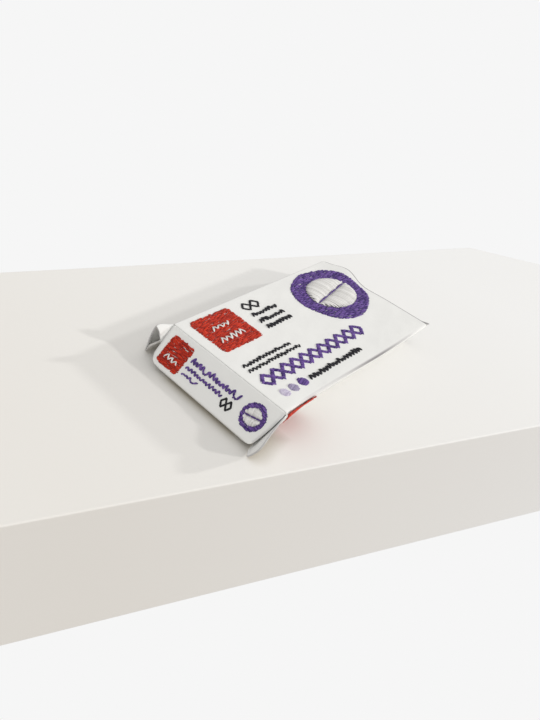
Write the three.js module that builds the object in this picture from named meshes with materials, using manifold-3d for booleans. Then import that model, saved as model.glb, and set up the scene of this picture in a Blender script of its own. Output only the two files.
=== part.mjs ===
import * as THREE from 'three';
import Module from 'manifold-3d';
import { mergeVertices } from 'three/addons/utils/BufferGeometryUtils.js';

const wasm = await Module();
wasm.setup();

// Sleeve: a flat tube of stiff cloth that has leaned over sideways
const LENGTH = 96.4;
const WIDTH = 66;
const SIDE = 17.5;
const LEAN = THREE.MathUtils.degToRad(32);
const CLOTH = 0.8;
const FOLD_R = 1.4;
const HEIGHT = SIDE * Math.cos(LEAN);
const SHEAR = Math.tan(LEAN);
const SIDE_WALL = CLOTH / Math.cos(LEAN);
const HALF_L = LENGTH / 2;
const HALF_W = WIDTH / 2;
const TOP_SHIFT = -HEIGHT * SHEAR;

// Clearances
const HINGE_GAP = 0.3;
const REST_GAP = 0.35;
const STITCH_GAP = 0.08;
const INLAY_GAP = 0.15;
const PACK_GAP = 0.12;

// Closure panels at the two ends
const HINGE_X = HALF_L + HINGE_GAP + CLOTH / 2;
const HINGE_Z = HEIGHT - CLOTH / 2;
const NEAR_SWING = THREE.MathUtils.degToRad(50);
const NEAR_PANEL = 17.2;
const NEAR_LIP = 8.4;
const NEAR_LIP_TURN = THREE.MathUtils.degToRad(125);
const NEAR_INSET_ROOT = 0.7;
const NEAR_INSET_FOLD = 1.8;
const NEAR_RIGHT_ROOT = 1.5;
const NEAR_RIGHT_FOLD = 3.4;
const NEAR_LIP_INSET = 10.5;
const LIP_R = HINGE_Z - CLOTH - HINGE_GAP - CLOTH / 2;
const FAR_LIP_ARC = THREE.MathUtils.degToRad(42);
const FAR_INSET = 0.6;
const FAR_LIP_INSET = 3;

// Dust flaps
const DUST_FAR_LENGTH = 17;
const DUST_FAR_FLOOR = 2.6;
const DUST_FAR_TOP = 0.5;
const DUST_BEND_R = 0.9;
const DUST_RIGHT_LENGTH = 17.6;
const DUST_RIGHT_TURN = THREE.MathUtils.degToRad(20);
const DUST_LEFT_LENGTH = 17;
const DUST_LEFT_TURN = THREE.MathUtils.degToRad(-62);
const DUST_SOFT_R = 4;
const DUST_FIRM_R = 1.5;
const DUST_CORNER_R = 3.5;
const DUST_FOOT = 0.05;
const DUST_CLOTH = CLOTH * 0.92;

// Contents
const STRIP_L = 76;
const STRIP_W = 50;
const STRIP_X = -1.5;
const STRIP_CORNER = 4;
const FILM = 0.3;
const FOIL = 0.12;
const CAPLET_L = 16;
const CAPLET_W = 7;
const CAPLET_H = 4.4;
const POCKET_PLAY = 0.4;
const POCKET_COLS = 5;
const POCKET_ROWS = 2;
const POCKET_PITCH_X = STRIP_L * 0.19;
const POCKET_PITCH_Y = STRIP_W * 0.46;
const LEAFLET_L = 58;
const LEAFLET_W = 44;
const PAPER = 0.14;
const PAPER_STEP = 0.36;
const PAPER_LAYERS = 4;

// Thread work: heights above the cloth
const SATIN = 0.6;
const RIDGE = 0.16;
const FINE = 0.4;
const PAD_RISE = 1.1;
const RIDGE_PITCH = 1.15;

// Stitched figures are laid out on a grid of this many steps over each panel
const TOP_STEPS = { x: 96.4, y: 66 };
const NEAR_STEPS = { x: 66, y: 17.2 };
const SIDE_STEPS = { x: 96.4, y: 17.5 };

// Fields of long and short stitch: x0, x1, y0, y1, corner
const RED_FIELD = [4.5, 26.5, 39, 62.5, 2];
const FLAP_RED_FIELD = [4.4, 17.4, 1.9, 14.8, 1.6];
const SIDE_RED_FIELD = [0.8, 17, 2, 16, 1.6];

// Rows of up-and-down stitches: x0, x1, y0, y1, step, weight, group
const WHITE_ROWS = [[8, 21, 44, 47.8, 1.3, 0.9, 6], [10, 19.5, 52, 55, 1.3, 0.8, 6]];
const FLAP_WHITE_ROW = [7, 14.8, 4.6, 7.4, 1.3, 0.75, 6];
const BLACK_ROWS = {
  black_row_top: [32, 46.5, 50, 53.6, 0.95, 0.95, 8],
  black_row_middle: [31.5, 46.5, 45, 48.6, 0.95, 0.95, 10],
  black_row_bottom: [31.5, 46.5, 40.2, 43.7, 0.95, 0.95, 6],
  fine_row_upper: [4.5, 31.5, 27.4, 30.1, 0.9, 0.7, 8],
  fine_row_lower: [4.5, 34, 24, 26.6, 0.9, 0.7, 12],
  black_row_front: [22, 54.5, 6.6, 10.6, 0.95, 1, 8],
};
const PURPLE_ROWS = {
  flap_purple_row_top: [19, 46.8, 9.6, 12.9, 0.95, 0.9, 9],
  flap_purple_row_middle: [19, 39.8, 6.4, 8.7, 0.9, 0.6, 10],
  flap_purple_row_bottom: [19, 27.5, 3.7, 5.8, 0.9, 0.55, 7],
};

// Chains of diamonds: x0, x1, y0, y1, count, weight
const PURPLE_CHAIN = [4.5, 66.5, 14.2, 21.3, 11, 1.3];
const BLACK_CHAIN = [32, 41.5, 55.2, 60.8, 2, 0.9];
const FLAP_BLACK_CHAIN = [41, 46.4, 4, 8, 2, 0.65];

// Small round dots: x, y, radius
const LILAC_DOT = [7.5, 8.5, 2.3];
const GREY_DOT = [12.4, 8.5, 2.3];
const PURPLE_DOT = [18, 8.7, 2.5];

// The oval's outline, and the padded round in it: x, y, radius, turn, half of the parting
const OVAL = [
  [65, 59], [75, 63], [88, 60.5], [94, 55], [95.2, 50], [94.8, 42], [92, 33], [85, 27],
  [75, 23.7], [65, 27], [60, 35], [57.5, 45], [60, 54],
];
const OVAL_POINTS = 34;
const PAD = [77, 43.8, 12.2, 0.2, 0.35];
const FLAP_ROUND = [56, 8.8, 5.7];
const FLAP_PAD = [56, 8.8, 3.7, 0.2, 0.25];

const colour = {
  cloth: 0xe4e3de,
  red: 0xc22e1c,
  purple: 0x6e54a6,
  black: 0x24222a,
  white: 0xf1efe9,
  lilac: 0xd9d0e4,
  greyLilac: 0x9a8db4,
  caplet: 0xf6f4ee,
  film: 0xdfe3e4,
  foil: 0xb9bcc0,
  paper: 0xefefec,
};

function material(hex, roughness, metalness = 0) {
  return new THREE.MeshStandardMaterial({ color: hex, roughness, metalness });
}

const cloth = () => material(colour.cloth, 0.9);
const thread = (hex) => material(hex, 0.65);

// Geometry in and out of the boolean library
function solid(geometry) {
  const g = geometry.clone();
  g.deleteAttribute('normal');
  g.deleteAttribute('uv');
  const merged = mergeVertices(g, 1e-5);
  return new wasm.Manifold(new wasm.Mesh({
    numProp: 3,
    vertProperties: new Float32Array(merged.attributes.position.array),
    triVerts: new Uint32Array(merged.index.array),
  }));
}

function geometryOf(body) {
  const mesh = body.getMesh();
  const g = new THREE.BufferGeometry();
  g.setAttribute('position', new THREE.BufferAttribute(new Float32Array(mesh.vertProperties), 3));
  g.setIndex(new THREE.BufferAttribute(new Uint32Array(mesh.triVerts), 1));
  g.computeVertexNormals();
  return g;
}

function piece(name, body, mat) {
  const geometry = body.isBufferGeometry ? body : geometryOf(body);
  const mesh = new THREE.Mesh(geometry, mat);
  mesh.name = name;
  return mesh;
}

// A block between two corners
function block(x0, x1, y0, y1, z0, z1) {
  const g = new THREE.BoxGeometry(x1 - x0, y1 - y0, z1 - z0);
  g.translate((x0 + x1) / 2, (y0 + y1) / 2, (z0 + z1) / 2);
  return g;
}

// Moves a shape; one that a mirror turns inside out is turned back
function moved(geometry, matrix) {
  geometry.applyMatrix4(matrix);
  if (matrix.determinant() < 0) {
    const index = geometry.index.array;
    for (let i = 0; i < index.length; i += 3) {
      [index[i], index[i + 1]] = [index[i + 1], index[i]];
    }
  }
  return geometry;
}

function outline(points) {
  return new THREE.Shape(points.map(([x, y]) => new THREE.Vector2(x, y)));
}

// A flat outline raised along its own normal from a base height
function raise(shape, base, height, curveSegments = 8) {
  const g = new THREE.ExtrudeGeometry(shape, { depth: height, bevelEnabled: false, curveSegments });
  g.translate(0, 0, base);
  return g;
}

function roundedRect(x0, x1, y0, y1, r) {
  const s = new THREE.Shape();
  s.moveTo(x0 + r, y0);
  s.lineTo(x1 - r, y0);
  s.absarc(x1 - r, y0 + r, r, -Math.PI / 2, 0);
  s.lineTo(x1, y1 - r);
  s.absarc(x1 - r, y1 - r, r, 0, Math.PI / 2);
  s.lineTo(x0 + r, y1);
  s.absarc(x0 + r, y1 - r, r, Math.PI / 2, Math.PI);
  s.lineTo(x0, y0 + r);
  s.absarc(x0 + r, y0 + r, r, Math.PI, Math.PI * 1.5);
  return s;
}

function stadium(length, width) {
  return roundedRect(-width / 2, width / 2, -length / 2, length / 2, width / 2 - 0.01);
}

// An even band along a path
function ribbon(path, width) {
  const left = [];
  const right = [];
  path.forEach(([x, y], i) => {
    const [ax, ay] = path[Math.max(i - 1, 0)];
    const [bx, by] = path[Math.min(i + 1, path.length - 1)];
    const before = new THREE.Vector2(x - ax, y - ay).normalize();
    const after = new THREE.Vector2(bx - x, by - y).normalize();
    if (i === 0) before.copy(after);
    if (i === path.length - 1) after.copy(before);
    const n = new THREE.Vector2(-before.y - after.y, before.x + after.x);
    const reach = width / (1 + before.dot(after)) / 2;
    left.push([x + n.x * reach, y + n.y * reach]);
    right.push([x - n.x * reach, y - n.y * reach]);
  });
  return outline([...left, ...right.reverse()]);
}

// Points on an arc that starts at an angle and turns
function arc(cx, cy, r, from, turn, steps) {
  const points = [];
  for (let i = 0; i <= steps; i += 1) {
    const a = from + turn * i / steps;
    points.push([cx + r * Math.cos(a), cy + r * Math.sin(a)]);
  }
  return points;
}

// Maps an outline drawn across the sleeve, raised along the sleeve
const ACROSS = new THREE.Matrix4().makeBasis(
  new THREE.Vector3(0, 1, 0),
  new THREE.Vector3(0, 0, 1),
  new THREE.Vector3(1, 0, 0),
);

// Maps an outline seen from the front long side, raised toward the back
const FACING = new THREE.Matrix4().makeBasis(
  new THREE.Vector3(1, 0, 0),
  new THREE.Vector3(0, 0, 1),
  new THREE.Vector3(0, -1, 0),
);

// Leans a square shape over as the sleeve leans
const LEANING = new THREE.Matrix4().set(
  1, 0, 0, 0,
  0, 1, -SHEAR, 0,
  0, 0, 1, 0,
  0, 0, 0, 1,
);

function sleeve() {
  const outer = roundedRect(-HALF_W, HALF_W, 0, HEIGHT, FOLD_R);
  const inner = roundedRect(-HALF_W + SIDE_WALL, HALF_W - SIDE_WALL, CLOTH, HEIGHT - CLOTH, FOLD_R - CLOTH);
  const tube = raise(outer, -HALF_L, LENGTH, 3).applyMatrix4(ACROSS);
  const bore = raise(inner, -HALF_L - CLOTH, LENGTH + CLOTH * 2, 2).applyMatrix4(ACROSS);
  return solid(tube).subtract(solid(bore));
}

// A folded-in dust flap at the far end, before the lean
function farDustFlap(side) {
  const wall = HALF_W - SIDE_WALL / 2;
  const bendX = HALF_L - CLOTH / 2 - DUST_BEND_R;
  const path = [[bendX - CLOTH, wall * side]];
  const from = side > 0 ? Math.PI / 2 : -Math.PI / 2;
  path.push(...arc(bendX, (wall - DUST_BEND_R) * side, DUST_BEND_R, from, -from, 4));
  path.push([HALF_L - CLOTH / 2, (wall - DUST_FAR_LENGTH) * side]);
  const z0 = CLOTH + DUST_FAR_FLOOR;
  const z1 = HEIGHT - CLOTH - DUST_FAR_TOP;
  return solid(raise(ribbon(path, DUST_CLOTH), z0, z1 - z0));
}

// Takes the side wall's end away where the dust flap bends round
function farWallEnd(side) {
  const y = HALF_W * side;
  const inside = (HALF_W - SIDE_WALL - CLOTH) * side;
  const x0 = HALF_L - CLOTH / 2 - DUST_BEND_R;
  return solid(block(x0, HALF_L + CLOTH, Math.min(y * 1.1, inside), Math.max(y * 1.1, inside),
    FOLD_R, HEIGHT - FOLD_R));
}

// A near dust flap, drawn round the wall's near end and standing along the wall
function nearDustFlap(side, turn, radius, length, cut) {
  const tail = length - Math.abs(turn) * radius;
  const sign = Math.sign(turn);
  const bend = arc(0, radius * sign, radius, -Math.PI / 2 * sign, turn, 5);
  const [bx, by] = bend[bend.length - 1];
  const path = [[-CLOTH * 1.5, 0], ...bend, [bx + tail * Math.cos(turn), by + tail * Math.sin(turn)]];
  const strip = raise(ribbon(path, DUST_CLOTH), 0, SIDE);
  const shaped = solid(strip).intersect(cut);
  const up = new THREE.Vector3(0, -Math.sin(LEAN), Math.cos(LEAN));
  const outward = new THREE.Vector3(0, Math.cos(LEAN) * side, Math.sin(LEAN) * side);
  const along = new THREE.Vector3(-1, 0, 0);
  const wallMid = HALF_W * side - SIDE_WALL / 2 * side;
  const basis = new THREE.Matrix4().makeBasis(along, outward, up);
  basis.setPosition(-HALF_L, wallMid, 0);
  return moved(geometryOf(shaped), basis);
}

// The outline of a dust flap seen square on: rounded outer corners and a rising foot
function dustCut(length, rise) {
  const s = new THREE.Shape();
  s.moveTo(-CLOTH * 3, FOLD_R);
  s.lineTo(0, FOLD_R);
  s.lineTo(length - DUST_CORNER_R, rise);
  s.quadraticCurveTo(length, rise, length, rise + DUST_CORNER_R);
  s.lineTo(length, SIDE - FOLD_R - DUST_CORNER_R);
  s.quadraticCurveTo(length, SIDE - FOLD_R, length - DUST_CORNER_R, SIDE - FOLD_R);
  s.lineTo(-CLOTH * 3, SIDE - FOLD_R);
  s.closePath();
  const g = raise(s, -length * 2, length * 4, 5);
  g.rotateX(Math.PI / 2);
  return g;
}

// The space that the near closure panel takes as it rests on the dust flaps
function nearPanelSpace() {
  const reach = NEAR_PANEL * 2;
  const g = block(-reach, CLOTH / 2 + REST_GAP, -WIDTH, WIDTH, -reach, 0);
  g.rotateY(NEAR_SWING);
  g.translate(-HINGE_X, 0, HINGE_Z);
  return solid(g);
}

function carton() {
  let square = sleeve();
  for (const side of [-1, 1]) {
    square = square.subtract(farWallEnd(side)).add(farDustFlap(side));
  }
  const leaning = geometryOf(square).applyMatrix4(LEANING);
  const floor = solid(block(-LENGTH, LENGTH, -WIDTH, WIDTH, DUST_FOOT, HEIGHT * 2));
  const right = solid(nearDustFlap(-1, DUST_RIGHT_TURN, DUST_FIRM_R, DUST_RIGHT_LENGTH,
    solid(dustCut(DUST_RIGHT_LENGTH, FOLD_R)))).intersect(floor);
  const left = solid(nearDustFlap(1, DUST_LEFT_TURN, DUST_SOFT_R, DUST_LEFT_LENGTH,
    solid(dustCut(DUST_LEFT_LENGTH, FOLD_R)))).intersect(floor).subtract(nearPanelSpace());
  return piece('carton', solid(leaning).add(right).add(left), cloth());
}

// Swings a piece of the near closure panel, drawn hanging below its hinge line
function nearPlace(geometry) {
  geometry.rotateY(NEAR_SWING);
  geometry.translate(-HINGE_X, 0, HINGE_Z);
  return geometry;
}

// The near panel with its tuck lip; the outline narrows from the hinge to the fold
function nearFlap() {
  const fold = -NEAR_PANEL + FOLD_R;
  const lipDir = -Math.PI / 2 + NEAR_LIP_TURN;
  const path = [[0, 0], [0, fold]];
  path.push(...arc(FOLD_R, fold, FOLD_R, Math.PI, NEAR_LIP_TURN, 5).slice(1));
  const [fx, fz] = path[path.length - 1];
  path.push([fx + Math.cos(lipDir) * NEAR_LIP, fz + Math.sin(lipDir) * NEAR_LIP]);
  const sheet = raise(ribbon(path, CLOTH), -WIDTH, WIDTH * 2).applyMatrix4(FACING);
  const left = HALF_W + TOP_SHIFT;
  const right = -HALF_W + TOP_SHIFT;
  const plan = outline([
    [right + NEAR_RIGHT_ROOT, CLOTH],
    [right + NEAR_RIGHT_FOLD, fold],
    [right + NEAR_RIGHT_FOLD, -NEAR_PANEL * 2],
    [left - NEAR_INSET_FOLD, -NEAR_PANEL * 2],
    [left - NEAR_INSET_FOLD, fold],
    [left - NEAR_INSET_ROOT, CLOTH],
  ]);
  const panel = solid(sheet).intersect(solid(raise(plan, -CLOTH * 2, NEAR_PANEL * 2).applyMatrix4(ACROSS)));
  const corner = NEAR_LIP_INSET + NEAR_INSET_FOLD;
  const lipPlan = (y0, y1) => solid(block(FOLD_R, NEAR_PANEL, y0, y1, -NEAR_PANEL * 2, 0));
  const beadL = left - NEAR_INSET_ROOT - right - NEAR_RIGHT_ROOT;
  const bead = new THREE.CylinderGeometry(CLOTH / 2, CLOTH / 2, beadL, 12);
  bead.translate(0, right + NEAR_RIGHT_ROOT + beadL / 2, 0);
  const body = panel.subtract(lipPlan(right - CLOTH, right + corner))
    .subtract(lipPlan(left - corner, left + CLOTH)).add(solid(bead));
  return piece('near_end_flap', nearPlace(geometryOf(body)), cloth());
}

// The far panel is closed: it leans with the sleeve, and its lip lies on a circle round the hinge
function farFlap() {
  const path = [[0, 0], [0, -LIP_R]];
  path.push(...arc(0, 0, LIP_R, -Math.PI / 2, -FAR_LIP_ARC, 8).slice(1));
  const sheet = raise(ribbon(path, CLOTH), -WIDTH, WIDTH * 2).applyMatrix4(FACING);
  const edge = HALF_W - FAR_INSET;
  const lipEdge = HALF_W - SIDE_WALL - FAR_LIP_INSET;
  const panelPlan = block(-CLOTH / 2, CLOTH, -edge, edge, -HEIGHT, CLOTH);
  const lipPlan = block(-HEIGHT, CLOTH, -lipEdge, lipEdge, -HEIGHT, CLOTH);
  const bead = new THREE.CylinderGeometry(CLOTH / 2, CLOTH / 2, edge * 2, 12);
  const keep = solid(panelPlan).add(solid(lipPlan));
  const body = geometryOf(solid(sheet).intersect(keep).add(solid(bead)));
  body.translate(HINGE_X, 0, HINGE_Z);
  return piece('far_end_flap', body.applyMatrix4(LEANING), cloth());
}

// A field of satin stitch: ridges along the thread, cut to an outline
function satin(shape, x0, x1, y0, y1, pitch, slant) {
  const rows = Math.ceil((y1 - y0) / pitch) + 8;
  const profile = [[y0 - pitch * 4, 0], [y0 + pitch * (rows - 4), 0]];
  for (let i = rows; i >= 0; i -= 1) {
    const y = y0 + pitch * (i - 4);
    profile.push([y, SATIN - RIDGE]);
    if (i > 0) profile.push([y - pitch * 0.5, SATIN]);
  }
  const reach = x1 - x0 + WIDTH;
  const g = raise(outline(profile), x0 - WIDTH / 2, reach).applyMatrix4(ACROSS);
  g.translate(-(x0 + x1) / 2, -(y0 + y1) / 2, 0);
  g.rotateZ(slant);
  g.translate((x0 + x1) / 2, (y0 + y1) / 2, 0);
  return solid(g).intersect(solid(raise(shape, -SATIN, SATIN * 3, 8)));
}

// A row of up-and-down stitches with small rests between the groups
function stitchRow(x0, x1, y0, y1, step, weight, group, height = FINE) {
  const upper = [];
  const lower = [];
  const count = Math.round((x1 - x0) / step);
  for (let i = 0; i <= count; i += 1) {
    const x = x0 + (x1 - x0) * i / count;
    const beat = i % group;
    const swell = 1 - 0.3 * ((i * 5) % 4) / 3;
    const y = beat === 0 || beat === group - 1 || i % 2 === 0
      ? y0 + weight
      : y0 + weight + (y1 - y0 - weight * 2) * swell;
    upper.push([x, y + weight]);
    lower.push([x, y - weight]);
  }
  return raise(outline([...lower, ...upper.reverse()]), 0, height);
}

// A row of joined diamonds
function diamondRow(x0, x1, y0, y1, count, weight) {
  const mid = (y0 + y1) / 2;
  const half = (y1 - y0) / 2;
  const step = (x1 - x0) / count;
  const top = [];
  const bottom = [];
  for (let i = 0; i <= count * 2; i += 1) {
    const x = x0 + step * i / 2;
    const reach = i % 2 === 0 ? weight * 0.6 : half;
    top.push([x, mid + reach]);
    bottom.push([x, mid - reach]);
  }
  const shape = outline([...bottom, ...top.reverse()]);
  for (let i = 0; i < count; i += 1) {
    const cx = x0 + step * (i + 0.5);
    const w = step / 2 - weight;
    const h = half - weight;
    const hole = [[cx - w, mid], [cx, mid - h], [cx + w, mid], [cx, mid + h]];
    shape.holes.push(new THREE.Path(hole.map(([x, y]) => new THREE.Vector2(x, y))));
  }
  return raise(shape, 0, FINE);
}

function disc(x, y, r, height = FINE, sides = 20) {
  const g = new THREE.CylinderGeometry(r * 0.82, r, height, sides);
  g.rotateX(Math.PI / 2);
  g.translate(x, y, height / 2);
  return g;
}

// A low dome for padded work
function paddedRound(r, sides) {
  const shape = [
    new THREE.Vector2(0, 0),
    new THREE.Vector2(r, 0),
    new THREE.Vector2(r, SATIN * 0.7),
    new THREE.Vector2(r * 0.86, PAD_RISE * 0.86),
    new THREE.Vector2(r * 0.55, PAD_RISE),
    new THREE.Vector2(0, PAD_RISE),
  ];
  return new THREE.LatheGeometry(shape, sides).rotateX(Math.PI / 2);
}

function grown(cx, cy, r) {
  const s = new THREE.Shape();
  s.absarc(cx, cy, r, 0, Math.PI * 2);
  return s;
}

function ovalShape() {
  const turning = OVAL.map(([x, y]) => new THREE.Vector3(x, y, 0));
  const curve = new THREE.CatmullRomCurve3(turning, true, 'catmullrom', 0.5);
  return outline(curve.getPoints(OVAL_POINTS).slice(0, -1).map((p) => [p.x, p.y]));
}

function asGeometry(body) {
  return body.isBufferGeometry ? body : geometryOf(body);
}

// Stretches work drawn on a panel's grid to the panel's own size
function toPanel(body, steps, width, height) {
  return asGeometry(body).scale(width / steps.x, height / steps.y, 1);
}

// Sets work drawn from the near edge and the front edge onto the top panel
function topPlace(body) {
  const g = toPanel(body, TOP_STEPS, LENGTH, WIDTH);
  g.translate(-HALF_L, -HALF_W + TOP_SHIFT, HEIGHT + STITCH_GAP);
  return g;
}

// Sets work drawn from the near panel's left end and its fold onto that panel
function flapPlace(body) {
  const g = toPanel(body, NEAR_STEPS, WIDTH, NEAR_PANEL);
  const onPanel = new THREE.Matrix4().makeBasis(
    new THREE.Vector3(0, -1, 0),
    new THREE.Vector3(0, 0, 1),
    new THREE.Vector3(-1, 0, 0),
  );
  onPanel.setPosition(-CLOTH / 2 - STITCH_GAP, HALF_W + TOP_SHIFT, -NEAR_PANEL);
  return nearPlace(g.applyMatrix4(onPanel));
}

// Sets work drawn from the near end and the bottom fold onto the front long side
function sidePlace(body) {
  const g = toPanel(body, SIDE_STEPS, LENGTH, SIDE);
  const onSide = new THREE.Matrix4().makeBasis(
    new THREE.Vector3(1, 0, 0),
    new THREE.Vector3(0, -Math.sin(LEAN), Math.cos(LEAN)),
    new THREE.Vector3(0, -Math.cos(LEAN), -Math.sin(LEAN)),
  );
  onSide.setPosition(-HALF_L, -HALF_W - Math.cos(LEAN) * STITCH_GAP, -Math.sin(LEAN) * STITCH_GAP);
  return g.applyMatrix4(onSide);
}

// A field in a rounded rectangle, with a place left open for each row inside it
function field([x0, x1, y0, y1, r], slant, rows) {
  let body = satin(roundedRect(x0, x1, y0, y1, r), x0, x1, y0, y1, RIDGE_PITCH, slant);
  const g = INLAY_GAP;
  for (const [a0, a1, b0, b1] of rows) {
    body = body.subtract(solid(block(a0 - g, a1 + g, b0 - g, b1 + g, -SATIN, SATIN * 2)));
  }
  return body;
}

// A field in a round or an oval, open where the padded round sits
function roundField(shape, box, slant, [x, y, r]) {
  const open = solid(raise(grown(x, y, r + INLAY_GAP), -SATIN, SATIN * 3, 24));
  return satin(shape, ...box, RIDGE_PITCH, slant).subtract(open);
}

// Half of the padded round, short of the parting across it
function paddedHalf([x, y, r, turn, part], side, sides) {
  const whole = paddedRound(r, sides);
  const keep = block(-r * 2, r * 2, side > 0 ? part : -r * 2, side > 0 ? r * 2 : -part, -SATIN, PAD_RISE * 2);
  const body = geometryOf(solid(whole).intersect(solid(keep)));
  body.rotateZ(turn);
  body.translate(x, y, 0);
  return body;
}

function topWork() {
  const work = [];
  const add = (name, body, hex) => work.push(piece(name, topPlace(body), thread(hex)));
  add('red_field', field(RED_FIELD, 0.12, WHITE_ROWS), colour.red);
  WHITE_ROWS.forEach((row, i) => add(`red_field_white_row_${i + 1}`, stitchRow(...row, SATIN), colour.white));
  add('purple_oval', roundField(ovalShape(), [57, 98, 23, 63], -0.1, PAD), colour.purple);
  add('padded_half_1', paddedHalf(PAD, 1, 28), colour.white);
  add('padded_half_2', paddedHalf(PAD, -1, 28), colour.white);
  for (const [name, row] of Object.entries(BLACK_ROWS)) add(name, stitchRow(...row), colour.black);
  add('black_diamonds', diamondRow(...BLACK_CHAIN), colour.black);
  add('purple_chain', diamondRow(...PURPLE_CHAIN), colour.purple);
  add('lilac_dot', disc(...LILAC_DOT), colour.lilac);
  add('grey_dot', disc(...GREY_DOT), colour.greyLilac);
  add('purple_dot', disc(...PURPLE_DOT), colour.purple);
  return work;
}

function flapWork() {
  const work = [];
  const add = (name, body, hex) => work.push(piece(name, flapPlace(body), thread(hex)));
  add('flap_red_field', field(FLAP_RED_FIELD, 0.05, [FLAP_WHITE_ROW]), colour.red);
  add('flap_white_row', stitchRow(...FLAP_WHITE_ROW, SATIN), colour.white);
  for (const [name, row] of Object.entries(PURPLE_ROWS)) add(name, stitchRow(...row), colour.purple);
  add('flap_black_diamonds', diamondRow(...FLAP_BLACK_CHAIN), colour.black);
  const [x, y, r] = FLAP_ROUND;
  add('flap_purple_round', roundField(grown(x, y, r), [x - r, x + r, y - r, y + r], -0.1, FLAP_PAD), colour.purple);
  add('flap_padded_half_1', paddedHalf(FLAP_PAD, 1, 16), colour.white);
  add('flap_padded_half_2', paddedHalf(FLAP_PAD, -1, 16), colour.white);
  return work;
}

// The red field low on the front long side, at the open end
function sideWork() {
  return [piece('side_red_field', sidePlace(field(SIDE_RED_FIELD, 0.05, [])), thread(colour.red))];
}

function pocketPlaces() {
  const places = [];
  for (let c = 0; c < POCKET_COLS; c += 1) {
    for (let r = 0; r < POCKET_ROWS; r += 1) {
      places.push([(c - (POCKET_COLS - 1) / 2) * POCKET_PITCH_X, (r - (POCKET_ROWS - 1) / 2) * POCKET_PITCH_Y]);
    }
  }
  return places;
}

const POCKET_DEPTH = CAPLET_H + POCKET_PLAY;
const STRIP_H = FOIL + POCKET_DEPTH + FILM + PACK_GAP;

// A blister strip's film: a plate with a pocket raised over each caplet
function film() {
  const plate = roundedRect(-STRIP_L / 2, STRIP_L / 2, -STRIP_W / 2, STRIP_W / 2, STRIP_CORNER);
  let body = solid(raise(plate, 0, FILM, 2));
  const outer = stadium(CAPLET_L + POCKET_PLAY * 2 + FILM * 2, CAPLET_W + POCKET_PLAY * 2 + FILM * 2);
  const inner = stadium(CAPLET_L + POCKET_PLAY * 2, CAPLET_W + POCKET_PLAY * 2);
  for (const [x, y] of pocketPlaces()) {
    body = body.add(solid(raise(outer, 0, POCKET_DEPTH + FILM, 2).translate(x, y, 0)));
    body = body.subtract(solid(raise(inner, -FILM, POCKET_DEPTH + FILM, 2).translate(x, y, 0)));
  }
  return geometryOf(body);
}

function foil() {
  return raise(roundedRect(-STRIP_L / 2, STRIP_L / 2, -STRIP_W / 2, STRIP_W / 2, STRIP_CORNER), -FOIL, FOIL, 2);
}

function caplet() {
  const g = new THREE.CapsuleGeometry(CAPLET_W / 2, CAPLET_L - CAPLET_W, 2, 8);
  g.scale(1, 1, CAPLET_H / CAPLET_W);
  return g;
}

function strip(label, z, y) {
  const parts = [];
  const base = z + FOIL;
  parts.push(piece(`${label}_foil`, foil().translate(STRIP_X, y, base), material(colour.foil, 0.3, 1)));
  const lifted = base + PACK_GAP / 2;
  parts.push(piece(`${label}_film`, film().translate(STRIP_X, y, lifted), material(colour.film, 0.15)));
  pocketPlaces().forEach(([x, py], i) => {
    const zc = lifted + CAPLET_H / 2;
    const number = String(i + 1).padStart(2, '0');
    parts.push(piece(`${label}_caplet_${number}`, caplet().translate(STRIP_X + x, y + py, zc), material(colour.caplet, 0.5)));
  });
  return parts;
}

// The folded leaflet: one sheet laid back and forth
function leaflet(z, y) {
  const path = [];
  const half = LEAFLET_W / 2;
  for (let i = 0; i < PAPER_LAYERS; i += 1) {
    const dir = i % 2 === 0 ? 1 : -1;
    path.push([-half * dir, i * PAPER_STEP]);
    path.push([half * dir, i * PAPER_STEP]);
    if (i < PAPER_LAYERS - 1) {
      path.push([(half + PAPER_STEP / 2) * dir, (i + 0.5) * PAPER_STEP]);
    }
  }
  const g = raise(ribbon(path, PAPER), -LEAFLET_L / 2, LEAFLET_L).applyMatrix4(ACROSS);
  g.translate(STRIP_X, y, z + PAPER / 2);
  return piece('leaflet', g, material(colour.paper, 0.85));
}

function contents() {
  const low = CLOTH + PACK_GAP;
  const high = low + STRIP_H + PACK_GAP;
  const top = high + STRIP_H + PACK_GAP;
  const middle = (z) => -(z + STRIP_H / 2) * SHEAR;
  return [
    ...strip('lower_strip', low, middle(low)),
    ...strip('upper_strip', high, middle(high)),
    leaflet(top, middle(top)),
  ];
}

const part = new THREE.Group();
part.name = 'tablet_carton';
part.add(carton(), nearFlap(), farFlap());
part.add(...topWork(), ...flapWork(), ...sideWork());
part.add(...contents());

export default part;
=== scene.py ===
import math

import bmesh
import bpy
import numpy as np
from mathutils import Matrix


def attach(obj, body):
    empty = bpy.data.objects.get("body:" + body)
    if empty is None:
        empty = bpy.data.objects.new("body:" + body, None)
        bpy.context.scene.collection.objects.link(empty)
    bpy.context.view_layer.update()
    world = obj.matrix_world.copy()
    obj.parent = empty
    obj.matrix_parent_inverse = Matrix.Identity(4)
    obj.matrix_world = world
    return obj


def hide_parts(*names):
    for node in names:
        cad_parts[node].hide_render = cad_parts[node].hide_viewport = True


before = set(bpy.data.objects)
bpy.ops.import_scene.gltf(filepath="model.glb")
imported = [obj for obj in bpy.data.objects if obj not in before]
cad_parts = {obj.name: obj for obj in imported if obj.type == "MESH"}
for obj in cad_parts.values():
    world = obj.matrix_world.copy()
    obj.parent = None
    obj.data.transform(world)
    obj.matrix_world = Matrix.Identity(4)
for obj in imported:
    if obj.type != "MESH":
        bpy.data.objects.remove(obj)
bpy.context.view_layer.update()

# Sizes in millimetres and angles in radians. Outer sizes, the lean, the hinges and the near panel
# are the source's. The near lip turns further here, and the folds are sharper.
MM = 0.001
LENGTH, WIDTH, SIDE, CLOTH = 96.4, 66.0, 17.5, 0.8
LEAN = math.radians(32)
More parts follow.
